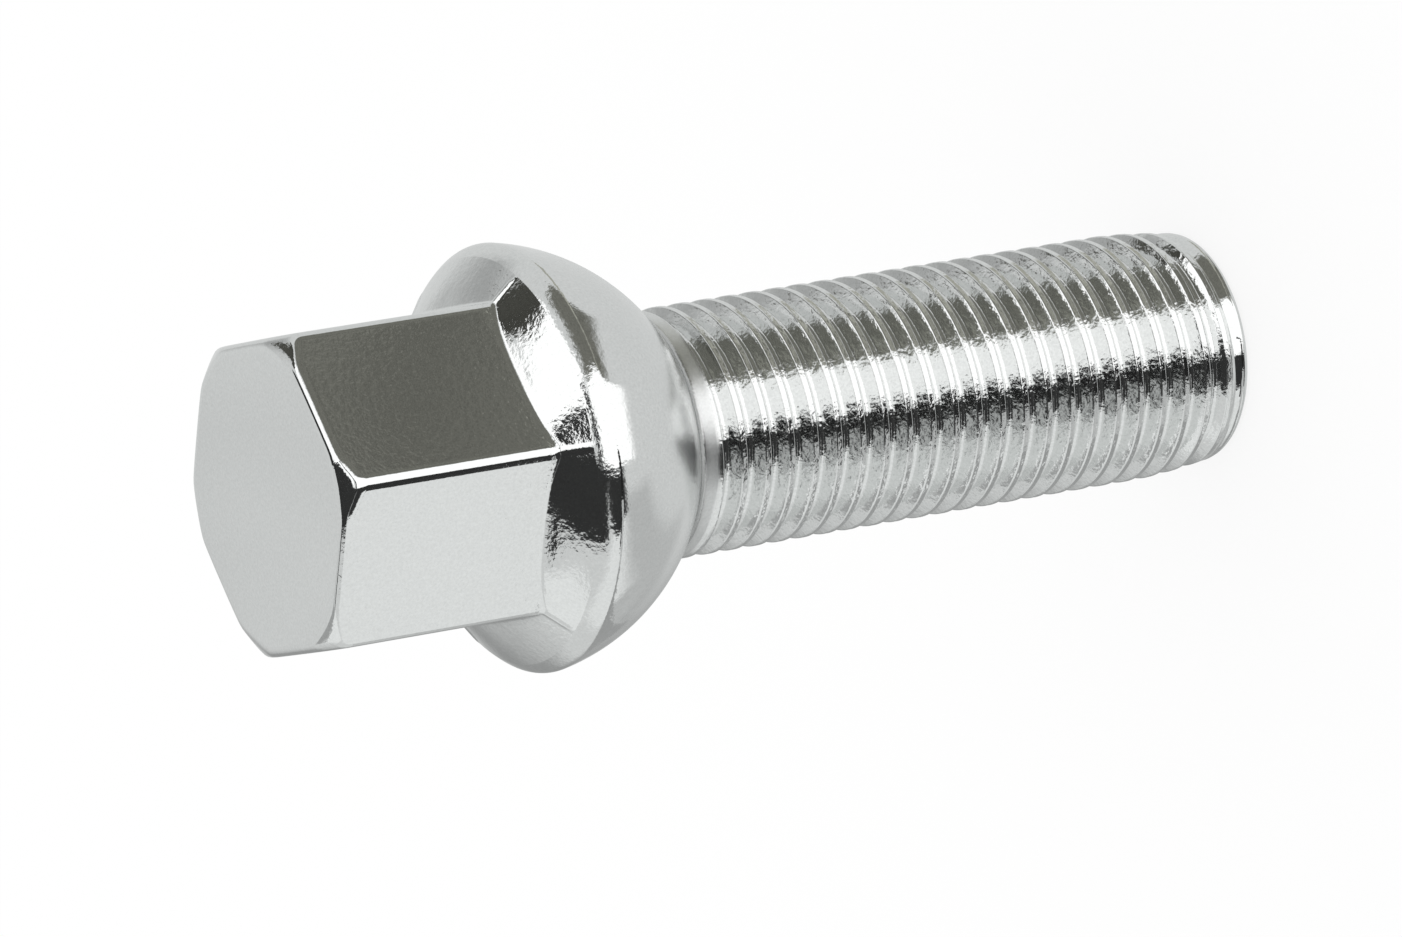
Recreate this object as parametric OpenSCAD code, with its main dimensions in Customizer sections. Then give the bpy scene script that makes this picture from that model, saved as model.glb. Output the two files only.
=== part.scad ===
// Ball-seat wheel bolt, forged in one piece: a hexagon head, a flared collar
// with a rounded rim, a ball seat, a plain neck and a rolled metric thread.
// It stands on its tip: Z is the bolt's axis and z = 0 is the flat tip.
// Angles round the axis are counted so that a hexagon corner lies on +X.

/* [Thread] */
// Nominal thread diameter
thread_d = 14; // [12:0.5:15]
// Thread pitch
pitch = 1.5; // [1:0.25:2]
// How much the crest diameter lies under the nominal diameter
thread_allowance = 0.15; // [0.05:0.05:0.3]
// How far the thread is turned about the axis, in degrees
thread_turn = 24; // [0:6:354]
// Length over which the last groove runs out towards the neck
runout_l = 1.5; // [0.5:0.5:3]

/* [Shank] */
// Length from the tip to the edge of the ball seat
shank_l = 35.7; // [20:0.1:60]
// Length of the plain neck between the ball seat and the thread
neck_l = 1.7; // [0.8:0.1:6]
// How far the plain neck lies inside the thread's crests
neck_inset = 0.075; // [0.05:0.025:0.5]
// Length over which the tip is rounded in towards its flat end
tip_round_l = 3.2; // [1:0.1:4]

/* [Seat and collar] */
// Radius of the ball seat
ball_r = 12; // [12:0.5:14]
// How far the collar's widest ring lies inside the ball's full radius
rim_inset = 0.15; // [0.05:0.05:0.8]
// How far the ridge between rim and flare lies inside the widest ring
ridge_w = 0.65; // [0.4:0.05:1]
// How far the ridge stands above the widest ring
ridge_h = 0.9; // [0.6:0.1:1.4]
// Crown radius of the band between the widest ring and the ridge
band_r = 4; // [2:0.5:8]
// Angle at which the crowned flare rises from the collar's ridge
flare_angle = 39; // [34:1:40]
// Steeper angle at which a crease rises to each corner of the hexagon
crease_angle = 43; // [42:1:50]
// How far inside the ridge the creases start
crease_gap = 0.1; // [0.05:0.05:0.2]

/* [Hexagon head] */
// Width across flats
hex_af = 17; // [15:0.5:19]
// Length of the hexagon's corners from the creases to the end face
hex_l = 13; // [8:0.1:20]
// How much each upright corner of the hexagon is rounded down
corner_land = 0.09; // [0.04:0.01:0.2]
// How far the end chamfer cuts in from the hexagon's corners
chamfer_w = 1.15; // [0.9:0.05:2]
// Angle at which the crowned end chamfer leaves the end face
chamfer_angle = 25; // [15:1:35]

/* [Hidden] */

// Thread: the depth of its straight flanks, and the rounded root's dip below them
crest_r = (thread_d - thread_allowance) / 2;
flank_h = 0.5413 * pitch;
root_dip = 0.07 * pitch;
thread_top = shank_l - neck_l;
thread_steps = 36;

// Shank and seat
neck_r = crest_r - neck_inset;
// The tip's rounding is part of a ball that clears the crests by a hair
tip_clearance = 0.02;
tip_ball_r = crest_r + tip_clearance;
rim_r = ball_r - rim_inset;
ball_z = shank_l + sqrt(ball_r * ball_r - neck_r * neck_r);
rim_z = ball_z - sqrt(ball_r * ball_r - rim_r * rim_r);

// Collar: the ridge is the ring where the flare meets the crowned band of the rim
ridge_r = rim_r - ridge_w;
ridge_z = rim_z + ridge_h;
band_chord = norm([ridge_w, ridge_h]);
band_reach = sqrt(band_r * band_r - band_chord * band_chord / 4);
band_x = rim_r - ridge_w / 2 - band_reach * ridge_h / band_chord;
band_z = rim_z + ridge_h / 2 - band_reach * ridge_w / band_chord;

// Head
corner_r = hex_af / 2 / cos(30);
face_r = corner_r - chamfer_w;
crease_r = ridge_r - crease_gap;
corner_end = ridge_z + (crease_r - corner_r) * tan(crease_angle);
head_top = corner_end + hex_l;

// The flare and its creases run on inside the hexagon to this radius
core_inset = 1;
core_r = hex_af / 2 - core_inset;
// Small overlap that fuses stacked solids
fuse = 0.5;
// Facets on a full circle
$fn = 96;

// One pitch of the thread's section from one root to the next, as shares of the
// pitch along the axis and depths under the crest. The crest is an eighth of the
// pitch wide, and three facets round the root.
ROOT_SHARE = 0.1;
CREST_SHARE = 1 / 16;
ROOT_DEPTH = flank_h + root_dip;
SHOULDER_DEPTH = flank_h + root_dip / 3;
THREAD_SECTION = [
    [0, ROOT_DEPTH],
    [ROOT_SHARE, SHOULDER_DEPTH],
    [1 / 2 - CREST_SHARE, 0],
    [1 / 2 + CREST_SHARE, 0],
    [1 - ROOT_SHARE, SHOULDER_DEPTH]
];

// Depth of the groove at height z: full along the thread, fading out at the neck
function groove_share(z) = max(0, min(1, (thread_top - z) / runout_l));

// Point k of the section in the column that stands at step i of the helix
function helix_point(i, k, z0) =
    let (z = z0 + pitch * (i / thread_steps + THREAD_SECTION[k][0]))
    let (r = crest_r - THREAD_SECTION[k][1] * groove_share(z))
    let (turn = 360 * i / thread_steps)
    [r * cos(turn), r * sin(turn), z];

// A right-hand threaded rod as one closed skin wound round the axis.
// Each column of the skin holds one pitch of the section, and its last point is
// the first point of the column that stands one turn further on.
// The rod starts below the tip and ends above the neck, so both ends get cut off.
module threaded_rod() {
    m = len(THREAD_SECTION);
    turn_share = thread_turn / 360;
    z0 = pitch * (turn_share - 2 - 1 / 2);
    columns = ceil(((thread_top - z0) / pitch + 1 / 4) * thread_steps);
    z1 = z0 + pitch * (columns / thread_steps + 1);
    skin = [for (i = [0:columns]) for (k = [0:m - 1]) helix_point(i, k, z0)];
    rim = [for (i = [columns + 1:columns + thread_steps]) helix_point(i, 0, z0)];
    centres = [[0, 0, z0], [0, 0, z1]];
    low = len(skin) + len(rim);
    high = low + 1;
    function at(i, k) = k < m ? i * m + k
        : i + thread_steps <= columns ? (i + thread_steps) * m
        : len(skin) + i + thread_steps - columns - 1;
    sides = [
        for (i = [0:columns - 1]) for (k = [0:m - 1]) each [
            [at(i, k), at(i, k + 1), at(i + 1, k + 1)],
            [at(i, k), at(i + 1, k + 1), at(i + 1, k)]
        ]
    ];
    bottom = [
        for (i = [0:thread_steps - 1]) [low, at(i, 0), at(i + 1, 0)],
        for (k = [0:m - 1]) [low, at(0, k + 1), at(0, k)]
    ];
    top = [
        for (i = [columns - thread_steps:columns - 1]) [high, at(i + 1, m), at(i, m)],
        for (k = [0:m - 1]) [high, at(columns, k), at(columns, k + 1)]
    ];
    polyhedron(points = concat(skin, rim, centres), faces = concat(sides, bottom, top));
}

// Threaded length, cut flat at the tip and at the neck, with the tip rounded in
module thread() {
    intersection() {
        threaded_rod();
        rotate_extrude() {
            intersection() {
                translate([0, tip_round_l]) circle(r = tip_ball_r);
                square([tip_ball_r, tip_round_l]);
            }
            translate([0, tip_round_l - fuse])
                square([tip_ball_r, thread_top - tip_round_l + fuse]);
        }
    }
}

// Plain neck that runs from the thread up into the ball seat, with a core inside
// that ties it to the thread below
module neck() {
    tie_r = crest_r - ROOT_DEPTH - fuse;
    translate([0, 0, thread_top]) cylinder(r = neck_r, h = neck_l + fuse);
    translate([0, 0, thread_top - fuse]) cylinder(r = tie_r, h = 2 * fuse);
}

// Ball seat, crowned rim band and flare, turned about the axis
module collar() {
    flare_r = ridge_r / sin(flare_angle);
    flare_z = ridge_z - flare_r * cos(flare_angle);
    rotate_extrude() {
        intersection() {
            translate([0, ball_z]) circle(r = ball_r);
            translate([0, shank_l]) square([ball_r, rim_z - shank_l]);
        }
        intersection() {
            translate([band_x, band_z]) circle(r = band_r);
            translate([core_r, rim_z]) square([rim_r - core_r, ridge_h]);
        }
        translate([0, rim_z - fuse]) square([core_r + fuse, ridge_h + 2 * fuse]);
        intersection() {
            translate([0, flare_z]) circle(r = flare_r);
            translate([0, ridge_z]) square([ridge_r, flare_r]);
        }
    }
}

// Six faint creases that carry the hexagon's corners down the flare to the ridge
module corner_creases() {
    crease_h = (crease_r - core_r) * tan(crease_angle);
    translate([0, 0, ridge_z]) cylinder(r1 = crease_r, r2 = core_r, h = crease_h, $fn = 6);
}

// Hexagon with slightly rounded corners and a crowned chamfer round its end face
module hexagon() {
    crown_r = face_r / sin(chamfer_angle);
    blank_z = rim_z - fuse;
    intersection() {
        translate([0, 0, rim_z]) cylinder(r = corner_r, h = head_top - rim_z, $fn = 6);
        rotate_extrude() intersection() {
            translate([0, head_top - crown_r * cos(chamfer_angle)]) circle(r = crown_r);
            translate([0, blank_z]) square([corner_r - corner_land, head_top - blank_z]);
        }
    }
}

module wheel_bolt() {
    color([0.78, 0.79, 0.79]) union() {
        thread();
        neck();
        collar();
        corner_creases();
        hexagon();
    }
}

wheel_bolt();
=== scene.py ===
"""Chrome-plated ball-seat wheel bolt, standing on its tip in a white studio."""

import math
from collections import namedtuple

import bpy
import numpy as np
from mathutils import Matrix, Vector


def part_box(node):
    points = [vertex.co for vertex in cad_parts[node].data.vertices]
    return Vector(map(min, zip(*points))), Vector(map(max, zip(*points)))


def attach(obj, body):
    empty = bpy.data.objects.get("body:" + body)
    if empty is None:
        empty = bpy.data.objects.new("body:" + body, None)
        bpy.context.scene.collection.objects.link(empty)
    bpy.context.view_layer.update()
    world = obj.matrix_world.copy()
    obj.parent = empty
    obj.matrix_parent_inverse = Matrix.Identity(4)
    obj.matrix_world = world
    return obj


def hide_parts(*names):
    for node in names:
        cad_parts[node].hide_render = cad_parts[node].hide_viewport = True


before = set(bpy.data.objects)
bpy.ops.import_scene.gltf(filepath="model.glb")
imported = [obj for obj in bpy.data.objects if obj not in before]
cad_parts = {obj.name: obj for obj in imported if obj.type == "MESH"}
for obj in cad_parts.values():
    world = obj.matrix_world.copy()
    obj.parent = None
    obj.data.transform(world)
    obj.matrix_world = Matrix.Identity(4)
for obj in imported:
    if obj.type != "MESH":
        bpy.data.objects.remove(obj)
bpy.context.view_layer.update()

bl_info = {
    "name": "Wheel bolt studio",
    "version": (1, 0, 0),
    "blender": (4, 5, 0),
    "location": "3D View > Sidebar > Wheel Bolt",
    "description": "Builds a forged and chrome-plated wheel bolt with its studio",
    "category": "Add Mesh",
}

NODE = "wheel_bolt"
BODY = "root"

MM = 0.001
BOLT_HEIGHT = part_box(NODE)[1].z

# Grid of the skin: columns round the bolt, columns of one flat, and turns of the wound ribbon
COLUMNS = 204
SECTOR_COLUMNS = COLUMNS // 6
TURNS = 24
# Angle of one flat of the hexagon, seen from the axis, and half of it
SECTOR = math.pi / 3
HALF_SECTOR = math.pi / 6
# Columns beside each corner of the hexagon, as shares of the reach of its rounding
CORNER_COLUMNS = (0.12, 0.36, 0.6, 0.84, 1.03, 1.3)
# The even columns of a flat: their start as such a share, and their end in degrees off the corner
FLAT_START = 2.2
FLAT_END = 28.8
# From the neck to the ridge the columns turn from even to crowded with a value that grows from this
# one to 1, and those below 0 stay even
COLLAR_BLEND_START = -0.4
# Height that the first and last half-made turns are pressed into, per metre of turn
SQUEEZE = 0.01
# How far above the run-out the ribbon ends, and the collar's rings start
RIBBON_END = 0.05 * MM
COLLAR_START = 0.1 * MM
# Small gap that keeps two rows apart where an edge runs out
SPLIT = 0.01 * MM
# Distance of a support row from the edge that it holds
HOLD = 0.04 * MM
# Powers of the tip's draw, of a crease's rise and of the end rounding's growth towards a corner
TIP_POWER = 1.6
CREASE_POWER = 1.5
CORNER_POWER = 3
# The way in from the ridge to the hexagon's corner is 1. The flare rises as far as LIFT_END, and a bead
# rises over a sixth of the way in and fades over a third of it that stops at BEAD_END
LIFT_END = 1.5
BEAD_RISE = 6
BEAD_FALL = 3
BEAD_END = 1.25
# Rings of the tip's and the head's flat end, as shares of its radius
TIP_RINGS = (0.15, 0.45, 0.75, 0.93)
FACE_RINGS = (0.985, 0.8, 0.55, 0.3, 0.1)


def length(name, text, value):
    """A size property in metres."""
    return bpy.props.FloatProperty(
        name=name, description=text, default=value, min=0.0, unit="LENGTH", subtype="DISTANCE", precision=5
    )


def angle(name, text, degrees):
    """An angle property, kept in radians."""
    return bpy.props.FloatProperty(
        name=name, description=text, default=math.radians(degrees), unit="ROTATION", subtype="ANGLE"
    )


def plain(name, text, value, low=0.0, high=1000.0):
    """A plain number property."""
    return bpy.props.FloatProperty(name=name, description=text, default=value, min=low, max=high)


def colour(name, text, value):
    """A colour property."""
    return bpy.props.FloatVectorProperty(
        name=name, description=text, default=value, size=3, min=0.0, max=1.0, subtype="COLOR"
    )


class ThreadSizes(bpy.types.PropertyGroup):
    """Sizes of the rolled thread, the tip and the neck"""

    crest_radius: length("Crest radius", "Radius over the thread's crests", 6.925 * MM)
    pitch: length("Pitch", "Distance from one crest to the next", 1.5 * MM)
    depth: length("Depth", "Depth of the groove under the crests", 0.8 * MM)
    flank_slope: angle("Flank slope", "Slope of the thread's flanks against the axis", 61.0)
    root_radius: length("Root radius", "Rounding at the bottom of the groove", 0.24 * MM)
    crest_rounding: length("Crest rounding", "Rounding of the crest's two edges", 0.07 * MM)
    seam_depth: length("Seam depth", "Depth of the rolling seam along the crest", 0.035 * MM)
    first_crest: length("First crest", "Height of a crest on the +X side, above the tip", 0.1 * MM)
    tip_radius: length("Tip radius", "Radius of the tip where its edge is rounded", 6.42 * MM)
    tip_length: length("Tip length", "Length over which the tip is drawn in", 5.0 * MM)
    tip_rounding: length("Tip rounding", "Rounding of the tip's edge", 0.6 * MM)
    plain_tip: length("Plain tip", "Length at the tip that carries no groove", 0.55 * MM)
    lead_in: length("Lead in", "Length over which the groove reaches its depth", 1.0 * MM)
    thread_top: length("Thread top", "Height where the last groove has run out", 34.7 * MM)
    run_out: length("Run-out", "Length over which the last groove runs out", 0.55 * MM)
    neck_radius: length("Neck radius", "Radius of the plain neck", 6.85 * MM)
    neck_rounding: length("Neck rounding", "Hollow between the neck and the ball seat", 0.5 * MM)


class HeadSizes(bpy.types.PropertyGroup):
    """Sizes of the ball seat, the collar and the hexagon"""

    ball_radius: length("Ball radius", "Radius of the ball seat", 12.0 * MM)
    ball_height: length("Ball centre", "Height of the ball's centre", 45.5528 * MM)
    rim_rounding: length("Rim rounding", "Rounding of the collar's widest ring", 0.8 * MM)
    band_radius: length("Band crown", "Crown radius of the rim band", 4.0 * MM)
    band_centre_radius: length("Band centre radius", "Radius of the band circle's centre", 8.314 * MM)
    band_centre_height: length("Band centre height", "Height of the band circle's centre", 41.792 * MM)
    ridge_radius: length("Ridge radius", "Radius of the ridge between band and flare", 11.2 * MM)
    ridge_height: length("Ridge height", "Height of the ridge", 44.5614 * MM)
    ridge_rounding: length("Ridge rounding", "Rounding of the ridge", 0.12 * MM)
    flare_slope: angle("Flare slope", "Slope of the crowned flare at the ridge", 39.0)
    crease_lift: length("Crease lift", "Height of a crease over the flare at the corner", 0.18 * MM)
    crease_sharpness: plain("Crease sharpness", "How late the flare rises towards a crease", 1.5)
    bead_height: length("Bead height", "Height of the fine bead along each crease", 0.09 * MM)
    bead_width: length("Bead width", "Half-width of the bead", 0.13 * MM)
    half_flats: length("Half across flats", "Half the width across flats", 8.5 * MM)
    corner_rounding: length("Corner rounding", "Rounding of the upright corners", 0.8 * MM)
    foot_rounding: length("Foot rounding", "Hollow where a flat meets the flare", 0.4 * MM)
    top_height: length("Top", "Height of the end face", BOLT_HEIGHT)
    face_radius: length("Face radius", "Radius where the end chamfer starts", 8.6 * MM)
    chamfer_slope: angle("Chamfer slope", "Slope of the end chamfer", 37.0)
    edge_rounding: length("Edge rounding", "Rounding of the end face's edges", 0.46 * MM)
    end_corner_rounding: length("End corner rounding", "Rounding of the end face's corners", 0.9 * MM)


class FinishLook(bpy.types.PropertyGroup):
    """Look of the chrome plating"""

    chrome: colour("Chrome", "Reflected colour of the plating", (0.785, 0.795, 0.79))
    ripple_size: length("Ripple size", "Width of the plating's ripples", 0.42 * MM)
    ripple_depth: length("Ripple depth", "Depth of the ripples where they are deepest", 0.021 * MM)
    grain_size: length("Grain size", "Width of the plating's fine grain", 0.15 * MM)
    grain_share: plain("Grain share", "Depth of the grain as a share of the ripples", 0.5)
    grain_shade: plain("Grain shade", "How much the grain shades the plating", 0.12, high=1.0)


class StudioLook(bpy.types.PropertyGroup):
    """Sizes of the studio, and the brightness of each kind of card in its tent"""

    tent_radius: length("Tent radius", "Distance of the cards and the softbox", 1.2)
    tent_height: length("Tent centre", "Height of the middle of the tent", 0.035)
    floor_width: length("Floor width", "Width of the floor", 8.0)
    shadow_share: plain("Shadow share", "How much of the floor's shadow shows", 0.2, high=1.0)
    lens: plain("Lens", "Focal length in millimetres on a 36 mm sensor", 256.27)
    wall: plain("Tent wall", "Brightness of the tent's wall", 0.72)
    softbox: plain("Softboxes", "Brightness of the softboxes", 1.3)
    reflector: plain("Reflector", "Brightness of the card that the lower flat mirrors", 0.87)
    flare_light: plain("Flare light", "Brightness of the card that the flare's low side mirrors", 0.9)
    low_side: plain("Low side", "Brightness of the wall's low side", 0.55)
    back: plain("Back", "Brightness of the card behind", 0.34)
    upper_shade: plain("Upper shade", "Brightness of the shade beside the back card", 0.42)
    thread_shade: plain("Thread shade", "Brightness of the shade for the thread's low side", 0.4)
    grey: plain("Grey card", "Brightness of the card that the upper flat mirrors", 0.175)
    dark: plain("Dark cards", "Brightness of the cards that draw the dark edges", 0.035)
    shade: plain("Edge shade", "Brightness of the shade beside the end face's edge", 0.06)
    corner_shade: plain("Corner shade", "Brightness of the shade for the end face's far corner", 0.08)
    belt_low: plain("Belt low", "Brightness of the belt for the thread's low side", 0.38)
    belt_light: plain("Belt light", "Brightness of the belt under the thread's dark band", 0.56)
    belt_dark: plain("Belt dark", "Brightness of the belt for the thread's dark band", 0.02)
    belt_grey: plain("Belt grey", "Brightness of the belt for the thread's upper part", 0.33)
    belt_side: plain("Belt side", "Brightness of the belt for the thread's top edge", 0.42)


def on_arc(centre, radius, start, stop, count):
    """Points of a circle in the profile plane: r = cr + R cos a, z = cz + R sin a,
    with the angle a running evenly from start to stop."""
    turn = np.linspace(0.0, 1.0, count)
    a = start + (stop - start) * turn
    return [(centre[0] + radius * np.cos(t), centre[1] + radius * np.sin(t)) for t in a]


def nested_centre(a, reach_a, b, reach_b):
    """Centre of a rounding that lies reach_a from point a and reach_b from point b:
    the crossing of two circles that is further from the axis."""
    run, rise = b[0] - a[0], b[1] - a[1]
    gap = math.hypot(run, rise)
    along = (reach_a**2 - reach_b**2 + gap**2) / (2 * gap)
    across = math.sqrt(reach_a**2 - along**2)
    foot = (a[0] + run / gap * along, a[1] + rise / gap * along)
    return max(
        (foot[0] + side * rise / gap * across, foot[1] - side * run / gap * across) for side in (1, -1)
    )


def bearing(origin, target):
    """Angle of the line from origin to target in the profile plane."""
    return math.atan2(target[1] - origin[1], target[0] - origin[0])


def thread_section(s):
    """One pitch of the groove from root to root, as shares of the pitch and depths under the crest.
    The root is a circle up to the flanks' slope each way, the flanks are straight,
    and the crest is flat with two rounded edges and a shallow seam in its middle."""
    lean = s.flank_slope
    root = lean * np.array([0.0, 0.5, 1.0])
    root_run = s.root_radius * np.sin(root)
    root_depth = s.depth - s.root_radius * (1 - np.cos(root))
    edge_run = root_run[-1] + root_depth[-1] / math.tan(lean)
    tangent = s.crest_rounding * math.tan(lean / 2)
    flank = np.array([edge_run - tangent * math.cos(lean), tangent * math.sin(lean)])
    hold = HOLD * np.array([math.cos(lean), -math.sin(lean)])
    middle = s.crest_rounding * (1 / math.cos(lean / 2) - 1)
    run = [
        *root_run,
        root_run[-1] + hold[0],
        flank[0] - hold[0],
        flank[0],
        edge_run + middle * math.sin(lean / 2),
        edge_run + tangent,
    ]
    depth = [
        *root_depth,
        root_depth[-1] + hold[1],
        flank[1] - hold[1],
        flank[1],
        middle * math.cos(lean / 2),
        0.0,
    ]
    run, depth = np.array(run) / s.pitch, np.array(depth)
    share = np.concatenate([run, [0.5], 1 - run[:0:-1]])
    return share, np.concatenate([depth, [s.seam_depth], depth[:0:-1]])


def tip_outline(s, z):
    """Radius over the crests at height z: the crest radius, less the tip's draw times (1 - z / length)
    to its power, so the tip rounds in ever faster towards the flat end."""
    left = np.clip(1 - z / s.tip_length, 0, 1)
    return s.crest_radius - (s.crest_radius - s.tip_radius) * left**TIP_POWER


def smooth_step(x):
    """Rises from 0 to 1 with level ends: 3 x^2 - 2 x^3."""
    x = np.clip(x, 0, 1)
    return x * x * (3 - 2 * x)


def thread_ribbon(s):
    """The threaded skin as a ribbon one pitch wide, wound round the axis on itself:
    angle = 2 pi i / columns, height = start + pitch (i / columns + share k), and
    radius = outline less the section's depth, which fades at the tip and at the neck.
    Heights below the plain tip and above the thread are pressed together."""
    share, depth = thread_section(s)
    step = np.arange(TURNS * COLUMNS + COLUMNS + 1)
    start = s.first_crest - s.pitch / 2
    run = start + s.pitch * (step[:, None] / COLUMNS + share[None, :])
    low, high = s.plain_tip, s.thread_top + RIBBON_END
    z = np.clip(run, low, high) + SQUEEZE * (np.minimum(run - low, 0) + np.maximum(run - high, 0))
    outline = tip_outline(s, z)
    to_neck = smooth_step((z - (s.thread_top - s.run_out / 2)) / (s.run_out / 2))
    outline = outline + (s.neck_radius - s.crest_radius) * to_neck
    kept = (outline - (s.crest_radius - s.depth)) / s.depth
    kept = kept * smooth_step((z - low) / s.lead_in) * smooth_step((s.thread_top - z) / s.run_out)
    r = outline - depth[None, :] * np.clip(kept, 0, 1)
    turn = 2 * np.pi * step[:, None] / COLUMNS
    points = np.stack([r * np.cos(turn), r * np.sin(turn), z], axis=-1)
    return points, len(share)


def column_angles(h):
    """Angles of the skin's columns, evenly spaced and crowded at the hexagon's corners.
    Both lie half a column off the corners, so they are mirror images in each sector."""
    half = SECTOR_COLUMNS // 2
    even = (np.arange(COLUMNS) + 0.5) * 2 * np.pi / COLUMNS
    reach = corner_reach(h)
    bend = reach * np.array(CORNER_COLUMNS)
    rest = np.linspace(FLAT_START * reach, math.radians(FLAT_END), half - len(bend))
    side = np.concatenate([bend, rest])
    sector = np.concatenate([side, SECTOR - side[::-1]])
    crowded = (np.arange(6)[:, None] * SECTOR + sector[None, :]).ravel()
    return even, crowded


def corner_reach(h):
    """Angle from a corner to the end of its rounding, seen from the axis."""
    centre = (h.half_flats - h.corner_rounding) / math.cos(HALF_SECTOR)
    return HALF_SECTOR - math.atan2(centre / 2, h.half_flats)


def off_corner(turn):
    """Angle to the nearest corner of the hexagon."""
    return np.abs((turn + HALF_SECTOR) % SECTOR - HALF_SECTOR)


def hexagon_radius(h, turn):
    """Radius of the hexagon at an angle: a / cos(angle off the flat's middle) on a flat, and
    d cos e + sqrt(rho^2 - d^2 sin^2 e) on a corner's rounding, centred at distance d."""
    off = off_corner(turn)
    centre = (h.half_flats - h.corner_rounding) / math.cos(HALF_SECTOR)
    flat = h.half_flats / np.cos(HALF_SECTOR - off)
    inside = np.maximum(h.corner_rounding**2 - (centre * np.sin(off)) ** 2, 0)
    bend = centre * np.cos(off) + np.sqrt(inside)
    return np.where(off < corner_reach(h), bend, flat)


def flare_height(h, r, turn):
    """Height of the flare: a ball's crown that meets the ridge at the flare's slope, lifted towards
    each crease by lift * (way in from the ridge)^power * (nearness to the crease)^sharpness, with a
    bead height * exp(-(distance from the crease / width)^2) that fades out at both ends."""
    ball = h.ridge_radius / math.sin(h.flare_slope)
    crown = np.sqrt(ball**2 - r**2) - ball * math.cos(h.flare_slope)
    corner = h.half_flats / math.cos(HALF_SECTOR)
    way_in = np.clip((h.ridge_radius - r) / (h.ridge_radius - corner), 0, LIFT_END)
    near = np.clip(1 - off_corner(turn) / HALF_SECTOR, 0, 1)
    lift = h.crease_lift * way_in**CREASE_POWER * near**h.crease_sharpness
    bead = h.bead_height * np.exp(-((r * np.sin(off_corner(turn)) / h.bead_width) ** 2))
    bead = bead * smooth_step(BEAD_RISE * way_in) * smooth_step(BEAD_FALL * (BEAD_END - way_in))
    return h.ridge_height + crown + lift + bead


def collar_rows(s, h):
    """Profile of the neck, the ball seat, the rim and its crowned band, as points (r, z).
    Each two curves are joined by a circle that touches both."""
    ball = (0.0, h.ball_height)
    hollow_r = s.neck_radius + s.neck_rounding
    hollow_reach = h.ball_radius + s.neck_rounding
    hollow = (hollow_r, h.ball_height - math.sqrt(hollow_reach**2 - hollow_r**2))
    band = (h.band_centre_radius, h.band_centre_height)
    rim = nested_centre(ball, h.ball_radius - h.rim_rounding, band, h.band_radius - h.rim_rounding)
    flare_ball = h.ridge_radius / math.sin(h.flare_slope)
    flare = (0.0, h.ridge_height - flare_ball * math.cos(h.flare_slope))
    ridge = nested_centre(band, h.band_radius - h.ridge_rounding, flare, flare_ball - h.ridge_rounding)
    rows = [(s.neck_radius, s.thread_top + COLLAR_START), (s.neck_radius, hollow[1] - HOLD)]
    rows += on_arc(hollow, s.neck_rounding, math.pi, bearing(hollow, ball), count=6)
    rows += on_arc(ball, h.ball_radius, bearing(ball, hollow), bearing(ball, rim), count=22)[1:]
    rows += on_arc(rim, h.rim_rounding, bearing(ball, rim), bearing(band, rim), count=7)[1:]
    rows += on_arc(band, h.band_radius, bearing(band, rim), bearing(band, ridge), count=8)[1:]
    rows += on_arc(ridge, h.ridge_rounding, bearing(band, ridge), bearing(flare, ridge), count=4)[1:]
    return rows


def hexagon_rows(h, turn, flare_start):
    """Rows of the flare, the flats, the end chamfer and the end face, as arrays over the columns.
    The hollow at a flat's foot is a circle that touches the flat and the flare. The end's
    roundings are circles about the corners of a profile that lies one rounding further in, and
    they grow towards the hexagon's corners with a power of the nearness to the corner."""
    wall = hexagon_radius(h, turn)
    foot_z = flare_height(h, wall, turn)
    slope = np.arctan((foot_z - flare_height(h, wall + SPLIT, turn)) / SPLIT)
    hollow = h.foot_rounding
    centre_z = foot_z + hollow * (1 - np.sin(slope)) / np.cos(slope)
    foot_r = wall + hollow * (1 - np.sin(slope))
    rows = []
    for way in np.linspace(0, 1, 9)[1:]:
        r = flare_start + (foot_r - flare_start) * way
        rows.append((r, flare_height(h, r, turn)))
    for way in np.linspace(0, 1, 6)[1:]:
        a = -math.pi / 2 - slope + (slope - math.pi / 2) * way
        rows.append((wall + hollow + hollow * np.cos(a), centre_z + hollow * np.sin(a)))
    near = np.clip(1 - off_corner(turn) / HALF_SECTOR, 0, 1)
    edge = h.edge_rounding + (h.end_corner_rounding - h.edge_rounding) * near**CORNER_POWER
    chamfer = h.chamfer_slope
    inner = wall - edge
    face_r = h.face_radius - edge * math.tan(chamfer / 2)
    fall = (inner - h.face_radius) * math.tan(chamfer) + edge / math.cos(chamfer)
    end_r = np.minimum(face_r, inner - SPLIT)
    end_z = h.top_height - edge
    side_z = np.minimum(h.top_height - fall, end_z - SPLIT)
    low, high = centre_z + HOLD, side_z - HOLD
    for way in np.linspace(0, 1, 5):
        rows.append((wall, low + (high - low) * way))
    for way in np.linspace(0, 1, 5):
        a = (math.pi / 2 - chamfer) * way
        rows.append((inner + edge * math.cos(a), side_z + edge * math.sin(a)))
    for way in np.linspace(0, 1, 4):
        a = math.pi / 2 - chamfer * (1 - way)
        rows.append((end_r + edge * math.cos(a), end_z + edge * math.sin(a)))
    for share in FACE_RINGS:
        rows.append((end_r * share, h.top_height + 0 * turn))
    return rows


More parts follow.
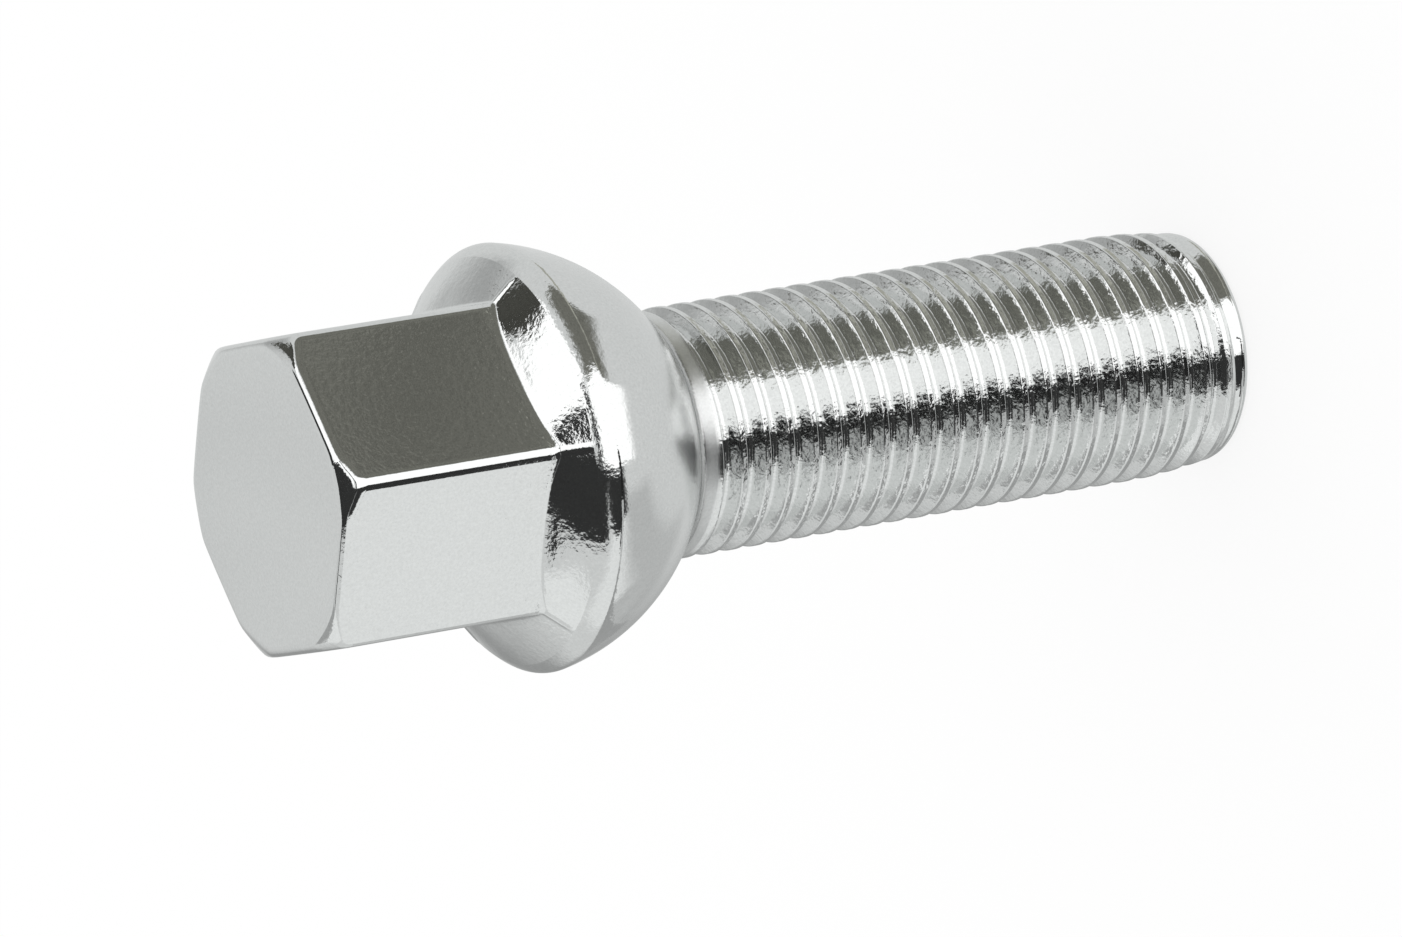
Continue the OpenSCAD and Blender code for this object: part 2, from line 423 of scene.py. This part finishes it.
def tip_rows(s):
    """Profile of the plain tip from its flat end up to the first groove, as points (r, z).
    The rounding is a circle that touches the flat end and the outline's slope above it."""
    step = 1e-3 * MM
    low = float(tip_outline(s, np.array(0.0)))
    rise = math.atan2(step, float(tip_outline(s, np.array(step))) - low)
    tangent = s.tip_rounding * math.tan(rise / 2)
    centre = (low - tangent, s.tip_rounding)
    rows = [(low * share, 0.0) for share in TIP_RINGS]
    rows += on_arc(centre, s.tip_rounding, -math.pi / 2, rise - math.pi / 2, count=6)
    edge_z, top = rows[-1][1], s.plain_tip - HOLD
    for way in np.linspace(0, 1, 5)[1:]:
        z = edge_z + (top - edge_z) * way
        rows.append((float(tip_outline(s, np.array(z))), z))
    return rows


def ring_faces(first, count):
    """Quads between rings of vertices that lie one after the other."""
    ring, column = np.meshgrid(np.arange(count - 1), np.arange(COLUMNS), indexing="ij")
    here = first + ring * COLUMNS + column
    beside = first + ring * COLUMNS + (column + 1) % COLUMNS
    return np.stack([here, beside, beside + COLUMNS, here + COLUMNS], axis=-1).reshape(-1, 4)


def ring_points(rows, turns):
    """Points of rings, one ring a row: (r cos a, r sin a, z) at the angle a of each column."""
    r = np.array([np.broadcast_to(row[0], COLUMNS) for row in rows])
    z = np.array([np.broadcast_to(row[1], COLUMNS) for row in rows])
    return np.stack([r * np.cos(turns), r * np.sin(turns), z], axis=-1).reshape(-1, 3)


def ribbon_table(across, body_at, close_at, edge_at):
    """Vertex numbers of the wound ribbon. Each row of the table is one column of the ribbon from root
    to root, and its last entry is the first vertex of the column that stands one turn further on.
    Past the last whole turn only the first row goes on, and the end edge holds the other rows."""
    last = TURNS * COLUMNS
    i, k = np.meshgrid(np.arange(last + 1), np.arange(across + 1), indexing="ij")
    lap = (k == across).astype(int)
    i, k = i + lap * COLUMNS, np.where(lap, 0, k)
    table = np.where(i < last, body_at + i * across + k, close_at + (i - last))
    table[last, 1:across] = edge_at + np.arange(across - 1)
    return table


def joining_triangles(table, tip_top, collar_at):
    """Triangles that join the ribbon's first turn to the tip's top ring and its last turn to the
    collar's first ring. A fan closes each of the ribbon's two ends."""
    across = table.shape[1] - 1
    j = np.arange(COLUMNS)
    k = np.arange(across)
    low, high = tip_top + j, collar_at + j
    foot, start = table[: COLUMNS + 1, 0], table[0, :]
    roof, stop = table[-COLUMNS - 1 :, across], table[-1, :]
    return [
        np.stack([low, foot[1:], foot[:-1]], axis=-1),
        np.stack([low[:-1], low[1:], foot[1:-1]], axis=-1),
        np.stack([np.full(across, low[-1]), start[k], start[k + 1]], axis=-1),
        np.array([[low[-1], low[0], start[0]]]),
        np.stack([roof[:-1], roof[1:], high], axis=-1),
        np.stack([roof[1:-1], high[1:], high[:-1]], axis=-1),
        np.stack([stop[k], np.full(across, high[0]), stop[k + 1]], axis=-1),
        np.array([[stop[across], high[0], high[-1]]]),
    ]


def bolt_skin(s, h):
    """The whole bolt as one closed skin: rings for the tip, a wound ribbon for the thread, and rings
    for the neck, the collar and the head. A fan closes the tip's and the head's flat end.
    Gives the points, the quads and the triangles."""
    even, crowded = column_angles(h)
    tip, collar = tip_rows(s), collar_rows(s, h)
    head = hexagon_rows(h, crowded, collar[-1][0])
    ribbon, across = thread_ribbon(s)
    last = TURNS * COLUMNS
    blend = smooth_step(np.linspace(COLLAR_BLEND_START, 1, len(collar)))[:, None]
    parts = [
        ring_points(tip, even),
        ribbon[:last].reshape(-1, 3),
        ribbon[last : last + COLUMNS + 1, 0],
        ribbon[last, 1:],
        ring_points(collar, even * (1 - blend) + crowded * blend),
        ring_points(head, crowded),
        np.array([[0, 0, 0], [0, 0, h.top_height]]),
    ]
    starts = np.cumsum([0] + [len(part) for part in parts])
    tip_at, body_at, close_at, edge_at, collar_at, _, low_pole = starts[:-1]

    table = ribbon_table(across, body_at, close_at, edge_at)
    winding = np.stack([table[:-1, :-1], table[1:, :-1], table[1:, 1:], table[:-1, 1:]], axis=-1)
    rings = len(collar) + len(head)
    squares = [winding.reshape(-1, 4), ring_faces(tip_at, len(tip)), ring_faces(collar_at, rings)]
    triangles = joining_triangles(table, tip_at + (len(tip) - 1) * COLUMNS, collar_at)

    j = np.arange(COLUMNS)
    beside = (j + 1) % COLUMNS
    top = collar_at + (rings - 1) * COLUMNS
    triangles.append(np.stack([np.full(COLUMNS, low_pole), tip_at + beside, tip_at + j], axis=-1))
    triangles.append(np.stack([top + j, top + beside, np.full(COLUMNS, low_pole + 1)], axis=-1))
    return np.concatenate(parts), np.concatenate(squares), np.concatenate(triangles)


def make_mesh(name, points, squares, triangles):
    """Puts whole arrays of points, quads and triangles into a smooth mesh object."""
    mesh = bpy.data.meshes.new(name)
    loops = np.concatenate([squares.ravel(), triangles.ravel()]).astype(np.int32)
    sizes = np.concatenate([np.full(len(squares), 4), np.full(len(triangles), 3)])
    mesh.vertices.add(len(points))
    mesh.vertices.foreach_set("co", points.astype(np.float32).ravel())
    mesh.loops.add(len(loops))
    mesh.loops.foreach_set("vertex_index", loops)
    mesh.polygons.add(len(sizes))
    mesh.polygons.foreach_set("loop_start", (np.cumsum(sizes) - sizes).astype(np.int32))
    mesh.polygons.foreach_set("use_smooth", np.ones(len(sizes), bool))
    mesh.update(calc_edges=True)
    if mesh.validate():
        raise RuntimeError(f"the mesh of {name} had faults")
    piece = bpy.data.objects.new(name, mesh)
    bpy.context.scene.collection.objects.link(piece)
    return piece


def plating_relief_group():
    """Height of the plating's skin: soft ripples and a fine grain, each a noise of its own size.
    The grain's noise also comes out by itself, to shade the plating."""
    group = bpy.data.node_groups.new("Plating relief", "ShaderNodeTree")
    for name in ("Ripple Scale", "Ripple", "Grain Scale", "Grain"):
        group.interface.new_socket(name=name, in_out="INPUT", socket_type="NodeSocketFloat")
    for name in ("Height", "Grain"):
        group.interface.new_socket(name=name, in_out="OUTPUT", socket_type="NodeSocketFloat")
    nodes, links = group.nodes, group.links
    given = nodes.new("NodeGroupInput")
    result = nodes.new("NodeGroupOutput")
    place = nodes.new("ShaderNodeTexCoord")
    heights, noises = [], []
    for scale, depth, detail in (("Ripple Scale", "Ripple", 1.0), ("Grain Scale", "Grain", 2.0)):
        noise = nodes.new("ShaderNodeTexNoise")
        noise.inputs["Detail"].default_value = detail
        links.new(place.outputs["Object"], noise.inputs["Vector"])
        links.new(given.outputs[scale], noise.inputs["Scale"])
        level = nodes.new("ShaderNodeMath")
        level.operation = "MULTIPLY"
        links.new(noise.outputs["Fac"], level.inputs[0])
        links.new(given.outputs[depth], level.inputs[1])
        heights.append(level)
        noises.append(noise)
    total = nodes.new("ShaderNodeMath")
    total.operation = "ADD"
    links.new(heights[0].outputs[0], total.inputs[0])
    links.new(heights[1].outputs[0], total.inputs[1])
    links.new(total.outputs[0], result.inputs["Height"])
    links.new(noises[1].outputs["Fac"], result.inputs["Grain"])
    return group


# Finish along the bolt: height in millimetres, share of the plating's relief, roughness, and a painted
# shade factor that darkens the hollow between the neck and the ball seat
RELIEF, ROUGHNESS, FOLD_SHADE = 1, 2, 3
FINISH_ZONES = (
    (0.0, 0.3, 0.05, 1.0),
    (1.0, 0.5, 0.05, 1.0),
    (1.8, 1.0, 0.06, 1.0),
    (34.4, 1.0, 0.06, 1.0),
    (34.7, 0.3, 0.34, 1.0),
    (35.3, 0.3, 0.34, 1.0),
    # Painted shade: these two rows darken the colour in the hollow between the neck and the ball seat
    (35.6, 1.0, 0.15, 0.66),
    (36.2, 1.0, 0.15, 0.75),
    (37.0, 0.2, 0.2, 1.0),
    (40.5, 0.1, 0.2, 1.0),
    (42.3, 0.15, 0.07, 1.0),
    (43.8, 0.6, 0.06, 1.0),
    (46.3, 0.6, 0.05, 1.0),
    (46.8, 0.15, 0.05, 1.0),
    (58.28, 0.15, 0.05, 1.0),
    (58.36, 0.7, 0.05, 1.0),
    (58.7, 0.7, 0.05, 1.0),
    (58.75, 0.05, 0.05, 1.0),
)


def zone_ramp(nodes, links, share, column):
    """A ramp over the bolt's height that carries one column of the finish zones."""
    zones = nodes.new("ShaderNodeValToRGB")
    ramp = zones.color_ramp
    while len(ramp.elements) < len(FINISH_ZONES):
        ramp.elements.new(0.5)
    for element, zone in zip(ramp.elements, FINISH_ZONES):
        element.position = zone[0] * MM / BOLT_HEIGHT
        element.color = (zone[column], zone[column], zone[column], 1.0)
    links.new(share, zones.inputs["Fac"])
    return zones.outputs["Color"]


def chrome_material(look):
    """Bright chrome over forged steel, with the plating's ripples and grain as bump, a random grain in its
    colour, and painted shade that darkens its colour in the hollow between the neck and the ball seat.
    """
    material = bpy.data.materials.new("Chrome plating")
    material.use_nodes = True
    nodes, links = material.node_tree.nodes, material.node_tree.links
    shader = nodes["Principled BSDF"]
    shader.inputs["Metallic"].default_value = 1.0
    relief = nodes.new("ShaderNodeGroup")
    relief.node_tree = plating_relief_group()
    relief.inputs["Ripple Scale"].default_value = 1 / look.ripple_size
    relief.inputs["Ripple"].default_value = 1.0
    relief.inputs["Grain Scale"].default_value = 1 / look.grain_size
    relief.inputs["Grain"].default_value = look.grain_share
    shade = nodes.new("ShaderNodeMapRange")
    shade.inputs["To Min"].default_value = 1 - look.grain_shade
    shade.inputs["To Max"].default_value = 1 + look.grain_shade
    chrome_with_painted_shade = nodes.new("ShaderNodeVectorMath")
    chrome_with_painted_shade.operation = "SCALE"
    chrome_with_painted_shade.inputs[0].default_value = look.chrome
    links.new(relief.outputs["Grain"], shade.inputs["Value"])
    place = nodes.new("ShaderNodeTexCoord")
    split = nodes.new("ShaderNodeSeparateXYZ")
    share = nodes.new("ShaderNodeMath")
    share.operation = "DIVIDE"
    share.inputs[1].default_value = BOLT_HEIGHT
    links.new(place.outputs["Object"], split.inputs[0])
    links.new(split.outputs["Z"], share.inputs[0])
    scaled = nodes.new("ShaderNodeMath")
    scaled.operation = "MULTIPLY"
    links.new(relief.outputs["Height"], scaled.inputs[0])
    links.new(zone_ramp(nodes, links, share.outputs[0], RELIEF), scaled.inputs[1])
    links.new(zone_ramp(nodes, links, share.outputs[0], ROUGHNESS), shader.inputs["Roughness"])
    # Painted shade: the grain's shade times the darkening of the hollow between the neck and the ball seat
    # scales the chrome colour
    grain_and_fold_shade = nodes.new("ShaderNodeMath")
    grain_and_fold_shade.operation = "MULTIPLY"
    links.new(shade.outputs["Result"], grain_and_fold_shade.inputs[0])
    links.new(zone_ramp(nodes, links, share.outputs[0], FOLD_SHADE), grain_and_fold_shade.inputs[1])
    links.new(grain_and_fold_shade.outputs[0], chrome_with_painted_shade.inputs["Scale"])
    links.new(chrome_with_painted_shade.outputs[0], shader.inputs["Base Color"])
    bump = nodes.new("ShaderNodeBump")
    bump.inputs["Distance"].default_value = look.ripple_depth
    links.new(scaled.outputs[0], bump.inputs["Height"])
    links.new(bump.outputs["Normal"], shader.inputs["Normal"])
    return material


class WHEELBOLT_OT_bolt(bpy.types.Operator):
    """Builds the forged bolt as one closed skin, with its chrome plating"""

    bl_idname = "wheelbolt.bolt"
    bl_label = "Build the bolt"

    def execute(self, context):
        scene = context.scene
        piece = make_mesh("chrome_wheel_bolt", *bolt_skin(scene.bolt_thread, scene.bolt_head))
        piece.data.materials.append(chrome_material(scene.bolt_finish))
        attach(piece, BODY)
        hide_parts(NODE)
        return {"FINISHED"}


# Tints of the studio's light
WHITE = (1.0, 1.0, 1.0)
COOL = (0.985, 1.0, 0.995)
WARM = (1.0, 1.0, 0.88)
# Share of the tent's radius between one layer of cards and the next
LAYER_GAP = 0.01
# Squares along each side of a card
CARD_GRID = 32
# Scale and detail of the noise that makes a card uneven, and the range that its values keep to
CARD_NOISE_SCALE = 45.0
CARD_NOISE_DETAIL = 4.0
CARD_NOISE_RANGE = (0.3, 0.7)

# How a card's corners are given: by azimuth and polar angle, or on a flat map of the tent's top
SIDE = False
TOP = True

# One card of the tent: its name, the studio property with its brightness, its map and its corners,
# its tint, its layer from the wall inwards, the share of it that fades out at each edge, and how
# uneven its light is
Card = namedtuple("Card", "name light on_top corners tint layer soft mottle")


def level_card(left, right, top, bottom):
    """Corners of a card between two azimuths and two polar angles, in degrees."""
    return (left, top), (right, top), (right, bottom), (left, bottom)


# Upright faces of the head mirror cards above the polar angle of 118 degrees, the thread the belt below
CARDS = (
    Card("Tent wall", "wall", SIDE, level_card(-180, 180, 0.5, 179.5), COOL, 0, 0, 0.06),
    Card("Low side card", "low_side", SIDE, level_card(-150, -28, 112, 158), COOL, 1, 0.12, 0.06),
    Card("Reflector card", "reflector", SIDE, level_card(-108, -42, 54, 142), COOL, 2, 0.12, 0.03),
    Card(
        "Thread shade card", "thread_shade", SIDE,
        ((-160, 30), (-114, 30), (-133, 60), (-160, 60)), COOL, 1, 0.15, 0.15,
    ),
    Card(
        "Flare light card", "flare_light", SIDE,
        ((-121, 34), (-98, 34), (-108, 64), (-138, 64)), COOL, 3, 0.15, 0.03,
    ),
    Card("Back card", "back", SIDE, level_card(176, 236, 58, 150), COOL, 1, 0.4, 0.15),
    Card(
        "Upper shade card", "upper_shade", SIDE,
        ((112, 40), (168, 46), (168, 92), (112, 84)), COOL, 1, 0.45, 0.15,
    ),
    Card("Softbox", "softbox", SIDE, level_card(-15, 39, 41, 150), WHITE, 2, 0.02, 0.05),
    Card("Top softbox", "softbox", TOP, ((-14, 9), (31, -3), (33, 34), (-8, 58)), WHITE, 1, 0.02, 0.05),
    Card("Grey card", "grey", SIDE, ((38, 45), (92, 60), (92, 142), (38, 142)), WARM, 3, 0.05, 0.55),
    Card("Dark card", "dark", SIDE, ((-48, 50), (-13, 41), (-15, 140), (-46, 140)), COOL, 3, 0.04, 0.5),
    Card("Belt low card", "belt_low", SIDE, level_card(-150, -72, 118, 130), COOL, 6, 0.01, 0.1),
    Card("Belt light card", "belt_light", SIDE, level_card(-75, -28, 118, 130), COOL, 6, 0.01, 0.1),
    Card(
        "Belt dark card", "belt_dark", SIDE,
        ((-31, 118), (-3, 118), (-5, 134), (-34, 134)), COOL, 7, 0.01, 0.5,
    ),
    Card("Belt softbox", "softbox", SIDE, level_card(-6, 39, 118, 126), WHITE, 6, 0.01, 0.05),
    Card("Belt grey card", "belt_grey", SIDE, level_card(39, 72, 118, 126), WARM, 6, 0.01, 0.75),
    Card("Belt side card", "belt_side", SIDE, level_card(72, 125, 118, 126), WARM, 6, 0.01, 0.4),
    Card("Low dark card", "dark", TOP, ((-12, -22), (28, -47), (48, -11), (17, 0)), COOL, 4, 0.02, 0.5),
    Card("Pole dark card", "dark", TOP, ((-20, 8), (-18, -31), (22, -10), (19, 14)), COOL, 5, 0.02, 0.5),
    Card("End edge card", "dark", TOP, ((-40, 2), (-13, 3), (-13, 23), (-34, 24)), COOL, 5, 0.02, 0.5),
    Card("Frame card", "dark", SIDE, level_card(-12, 42, 36, 41), COOL, 3, 0.02, 0.5),
    Card("Shade card", "shade", TOP, ((-9, 33), (-9, 56), (-32, 52), (-22, 33)), WARM, 3, 0.08, 0.5),
    Card(
        "Corner shade card", "corner_shade", TOP,
        ((-45, 39.6), (-20, 39.6), (-16, 48), (-42, 48)), WARM, 3, 0.03, 0.5,
    ),
    Card("Upright edge card", "dark", SIDE, level_card(-57, -16, 110, 118), COOL, 4, 0.02, 0.5),
)


def glow_material(name, level, tint, mottle):
    """A card or lamp face. It fades out where the mesh's attribute falls from 1 to 0 at its edges,
    and a broad noise makes it a little uneven."""
    material = bpy.data.materials.new(name)
    material.use_nodes = True
    nodes, links = material.node_tree.nodes, material.node_tree.links
    nodes.clear()
    out = nodes.new("ShaderNodeOutputMaterial")
    glow = nodes.new("ShaderNodeEmission")
    glow.inputs["Color"].default_value = (*tint, 1.0)
    noise = nodes.new("ShaderNodeTexNoise")
    noise.inputs["Scale"].default_value = CARD_NOISE_SCALE
    noise.inputs["Detail"].default_value = CARD_NOISE_DETAIL
    spread = nodes.new("ShaderNodeMapRange")
    spread.inputs["From Min"].default_value = CARD_NOISE_RANGE[0]
    spread.inputs["From Max"].default_value = CARD_NOISE_RANGE[1]
    spread.inputs["To Min"].default_value = level * (1 - mottle)
    spread.inputs["To Max"].default_value = level * (1 + mottle)
    clear = nodes.new("ShaderNodeBsdfTransparent")
    fade = nodes.new("ShaderNodeAttribute")
    fade.attribute_name = "fade"
    mix = nodes.new("ShaderNodeMixShader")
    place = nodes.new("ShaderNodeTexCoord")
    links.new(place.outputs["Object"], noise.inputs["Vector"])
    links.new(noise.outputs["Fac"], spread.inputs["Value"])
    links.new(spread.outputs["Result"], glow.inputs["Strength"])
    links.new(fade.outputs["Fac"], mix.inputs[0])
    links.new(clear.outputs[0], mix.inputs[1])
    links.new(glow.outputs[0], mix.inputs[2])
    links.new(mix.outputs[0], out.inputs["Surface"])
    return material


def card_points(look, card, u, v):
    """Points of a card on the studio tent, a ball R about the tent's centre. A corner is its azimuth
    and polar angle in degrees. On the top it is (p cos a, p sin a) instead, a map without a seam.
    Points between the corners are their bilinear mix, and a point of the ball is
    x = R sin p cos a, y = R sin p sin a, z = height + R cos p."""
    p00, p10, p11, p01 = (np.array(corner, float) for corner in card.corners)
    mix = (1 - u) * (1 - v) * p00 + u * (1 - v) * p10 + u * v * p11 + (1 - u) * v * p01
    if card.on_top:
        polar = np.radians(np.hypot(mix[..., 0], mix[..., 1]))
        azimuth = np.arctan2(mix[..., 1], mix[..., 0])
    else:
        azimuth, polar = np.radians(mix[..., 0]), np.radians(mix[..., 1])
    way = [np.sin(polar) * np.cos(azimuth), np.sin(polar) * np.sin(azimuth), np.cos(polar)]
    radius = look.tent_radius * (1 - LAYER_GAP * card.layer)
    return np.stack(way, axis=-1).reshape(-1, 3) * radius + np.array([0, 0, look.tent_height])


def tent_card(look, card):
    """A four-cornered card of the tent. A soft card fades over a share of its width and height. The
    bolt mirrors the card, and the camera doesn't see it."""
    steps = np.linspace(0, 1, CARD_GRID + 1)
    u, v = (grid[..., None] for grid in np.meshgrid(steps, steps))
    row, column = np.meshgrid(np.arange(CARD_GRID), np.arange(CARD_GRID), indexing="ij")
    first = row * (CARD_GRID + 1) + column
    above = first + CARD_GRID + 1
    squares = np.stack([first, first + 1, above + 1, above], axis=-1).reshape(-1, 4)
    piece = make_mesh(card.name, card_points(look, card, u, v), squares, np.zeros((0, 3), int))
    fade = np.ones(u.size)
    if card.soft:
        edge = np.minimum(np.minimum(u, 1 - u), np.minimum(v, 1 - v))
        fade = smooth_step(edge / card.soft).ravel()
    attribute = piece.data.attributes.new("fade", "FLOAT", "POINT")
    attribute.data.foreach_set("value", fade.astype(np.float32))
    level = getattr(look, card.light)
    piece.data.materials.append(glow_material(card.name, level, card.tint, card.mottle))
    piece.visible_camera = False
    piece.visible_diffuse = False
    piece.visible_shadow = False


def white_light(nodes, links):
    """1 for camera, glossy and transmission rays, and 0 for the others."""
    path = nodes.new("ShaderNodeLightPath")
    total = path.outputs["Is Camera Ray"]
    for name in ("Is Glossy Ray", "Is Transmission Ray"):
        add = nodes.new("ShaderNodeMath")
        add.operation = "MAXIMUM"
        links.new(total, add.inputs[0])
        links.new(path.outputs[name], add.inputs[1])
        total = add.outputs[0]
    return total


def white_world():
    """Plain white surroundings."""
    world = bpy.data.worlds.new("White tent")
    world.use_nodes = True
    background = world.node_tree.nodes["Background"]
    background.inputs["Color"].default_value = (1, 1, 1, 1)
    background.inputs["Strength"].default_value = 1.0
    bpy.context.scene.world = world


def floor_material(look):
    """Pale floor that looks white and keeps a soft share of the bolt's shadow."""
    material = bpy.data.materials.new("Pale floor")
    material.use_nodes = True
    nodes, links = material.node_tree.nodes, material.node_tree.links
    nodes.clear()
    out = nodes.new("ShaderNodeOutputMaterial")
    matt = nodes.new("ShaderNodeBsdfDiffuse")
    matt.inputs["Color"].default_value = (1, 1, 1, 1)
    glow = nodes.new("ShaderNodeEmission")
    share = nodes.new("ShaderNodeMath")
    share.operation = "MULTIPLY"
    share.inputs[1].default_value = 1 - look.shadow_share
    mix = nodes.new("ShaderNodeMixShader")
    links.new(white_light(nodes, links), share.inputs[0])
    links.new(share.outputs[0], mix.inputs[0])
    links.new(matt.outputs[0], mix.inputs[1])
    links.new(glow.outputs[0], mix.inputs[2])
    links.new(mix.outputs[0], out.inputs["Surface"])
    return material


def pale_floor(look):
    """The square floor at z = 0. The plating mirrors the tent below it instead of the floor."""
    half = look.floor_width / 2
    corners = np.array([[-half, -half, 0], [half, -half, 0], [half, half, 0], [-half, half, 0]])
    floor = make_mesh("Floor", corners, np.array([[0, 1, 2, 3]]), np.zeros((0, 3), int))
    floor.data.materials.append(floor_material(look))
    floor.visible_glossy = False


# The camera as fitted to the photograph: its place in metres, and its own axes
CAMERA_PLACE = (0.479996, 0.001864, 0.295510)
CAMERA_RIGHT = (0.47563335, -0.162284, -0.86454429)
CAMERA_UP = (0.07156787, 0.98671563, -0.14584342)
CAMERA_BACK = (0.87672742, 0.0074944, 0.48092918)
# Width of the sensor in millimetres, and the nearest distance in metres that the camera sees
SENSOR_WIDTH = 36.0
CLIP_START = 0.01


def place_camera(look):
    """The camera. Its matrix holds its own axes as columns, then its place."""
    data = bpy.data.cameras.new("Camera")
    data.sensor_fit = "HORIZONTAL"
    data.sensor_width = SENSOR_WIDTH
    data.lens = look.lens
    data.clip_start = CLIP_START
    camera = bpy.data.objects.new("Camera", data)
    bpy.context.scene.collection.objects.link(camera)
    matrix = np.eye(4)
    matrix[:3] = np.stack([CAMERA_RIGHT, CAMERA_UP, CAMERA_BACK, CAMERA_PLACE], axis=-1)
    camera.matrix_world = Matrix(matrix.tolist())
    bpy.context.scene.camera = camera


class WHEELBOLT_OT_studio(bpy.types.Operator):
    """Sets up the floor, the white tent with its softbox and cards, and the camera"""

    bl_idname = "wheelbolt.studio"
    bl_label = "Set up the studio"

    def execute(self, context):
        look = context.scene.bolt_studio
        white_world()
        pale_floor(look)
        for card in CARDS:
            tent_card(look, card)
        place_camera(look)
        context.scene.view_settings.view_transform = "Standard"
        return {"FINISHED"}


class WHEELBOLT_PT_panel(bpy.types.Panel):
    """Sizes and steps of the wheel bolt"""

    bl_label = "Wheel Bolt"
    bl_idname = "WHEELBOLT_PT_panel"
    bl_space_type = "VIEW_3D"
    bl_region_type = "UI"
    bl_category = "Wheel Bolt"

    def draw(self, context):
        scene = context.scene
        for title, group, operator in (
            ("Thread and tip", scene.bolt_thread, None),
            ("Head and collar", scene.bolt_head, None),
            ("Chrome plating", scene.bolt_finish, "wheelbolt.bolt"),
            ("Studio", scene.bolt_studio, "wheelbolt.studio"),
        ):
            box = self.layout.box()
            box.label(text=title)
            for name in group.__annotations__:
                box.prop(group, name)
            if operator:
                box.operator(operator)


GROUPS = {
    "bolt_thread": ThreadSizes,
    "bolt_head": HeadSizes,
    "bolt_finish": FinishLook,
    "bolt_studio": StudioLook,
}
CLASSES = (*GROUPS.values(), WHEELBOLT_OT_bolt, WHEELBOLT_OT_studio, WHEELBOLT_PT_panel)


def register():
    for item in CLASSES:
        bpy.utils.register_class(item)
    for name, group in GROUPS.items():
        setattr(bpy.types.Scene, name, bpy.props.PointerProperty(type=group))


def unregister():
    for name in GROUPS:
        delattr(bpy.types.Scene, name)
    for item in reversed(CLASSES):
        bpy.utils.unregister_class(item)


def main():
    """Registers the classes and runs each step."""
    register()
    bpy.ops.wheelbolt.studio()
    bpy.ops.wheelbolt.bolt()


if __name__ == "__main__":
    main()
